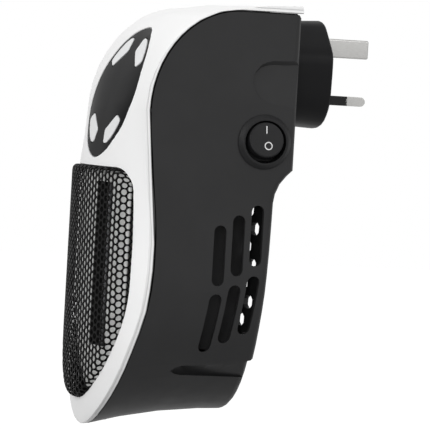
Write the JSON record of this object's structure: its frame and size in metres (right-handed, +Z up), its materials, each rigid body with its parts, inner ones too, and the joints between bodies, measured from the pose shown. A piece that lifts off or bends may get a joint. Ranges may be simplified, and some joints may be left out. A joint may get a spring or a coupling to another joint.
{
  "type": "plug-in fan heater",
  "caption": "Plug-in fan heater with a crowned front, oval control panel, perforated outlet, side rocker switch, air slots and a swivelling three-pin plug.",
  "frame": {"origin": "centre of the plug's pin face", "axes": "+Y along the pins into the socket, -Y the way the warm air leaves, +Z up, +X the rocker switch side"},
  "size_m": [0.088, 0.1244, 0.1801],
  "materials": {
    "black_plastic": "matte black moulding",
    "white_plastic": "satin white moulding",
    "gloss_black": "gloss black",
    "pale_button": "pale grey, fine texture",
    "board_green": "circuit board",
    "grille_black": "black painted perforated sheet",
    "ceramic": "heat-resistant moulding",
    "aluminium": "finned block",
    "cutout_metal": "small metal can",
    "steel": "plated steel",
    "plug_plastic": "satin black moulding",
    "pin_metal": "satin nickel-plated brass"
  },
  "bodies": {
    "plug": {"plug_body": "plug_plastic", "earth_pin": "pin_metal", "live_pin": "pin_metal", "neutral_pin": "pin_metal", "live_sleeve": "plug_plastic", "neutral_sleeve": "plug_plastic", "swivel_plate": "black_plastic", "swivel_screw_right": "steel", "swivel_screw_left": "steel"},
    "housing": {"rear_housing": "black_plastic", "front_cover": "white_plastic", "control_fascia": "gloss_black", "display_module": "gloss_black", "control_board": "board_green", "power_board": "board_green", "outlet_grille": "grille_black", "outlet_baffle": "white_plastic", "heater_frame": "ceramic", "heating_element": "aluminium", "thermal_cutout": "cutout_metal", "fan_shroud": "black_plastic", "fan_motor": "steel", "switch_bezel": "black_plastic", "switch_body": "gloss_black", "case_screw_left": "steel", "case_screw_right": "steel", "case_screw_lip": "steel"},
    "fan": {"impeller": "black_plastic", "motor_shaft": "steel"},
    "rocker": {"rocker": "gloss_black"},
    "button_power": {"button_power": "pale_button"},
    "button_timer": {"button_timer": "pale_button"},
    "button_cooler": {"button_cooler": "pale_button"},
    "button_warmer": {"button_warmer": "pale_button"}
  },
  "joints": [
    {"name": "plug_swivel", "type": "hinge", "parent": "plug", "child": "housing", "pos_m": [0, -0.0219, 0], "axis": [0, 1, 0], "range_deg": [-90, 90]},
    {"name": "fan_spin", "type": "hinge", "parent": "housing", "child": "fan", "pos_m": [0, -0.06, -0.084], "axis": [0, 1, 0], "continuous": true},
    {"name": "rocker_tilt", "type": "hinge", "parent": "housing", "child": "rocker", "pos_m": [0.03894, -0.0361, -0.0288], "axis": [0.04, 0.9992, 0], "range_deg": [0, 20]},
    {"name": "button_power_press", "type": "slide", "parent": "housing", "child": "button_power", "axis": [-0.0101, 0.8876, -0.4606], "range_m": [0, 0.0006], "stiffness_N_per_m": 300, "springref_m": -0.0003},
    {"name": "button_timer_press", "type": "slide", "parent": "housing", "child": "button_timer", "axis": [0.0101, 0.8876, -0.4606], "range_m": [0, 0.0006], "stiffness_N_per_m": 300, "springref_m": -0.0003},
    {"name": "button_cooler_press", "type": "slide", "parent": "housing", "child": "button_cooler", "axis": [-0.035, 0.9805, -0.1936], "range_m": [0, 0.0006], "stiffness_N_per_m": 300, "springref_m": -0.0003},
    {"name": "button_warmer_press", "type": "slide", "parent": "housing", "child": "button_warmer", "axis": [0.035, 0.9805, -0.1936], "range_m": [0, 0.0006], "stiffness_N_per_m": 300, "springref_m": -0.0003}
  ]
}
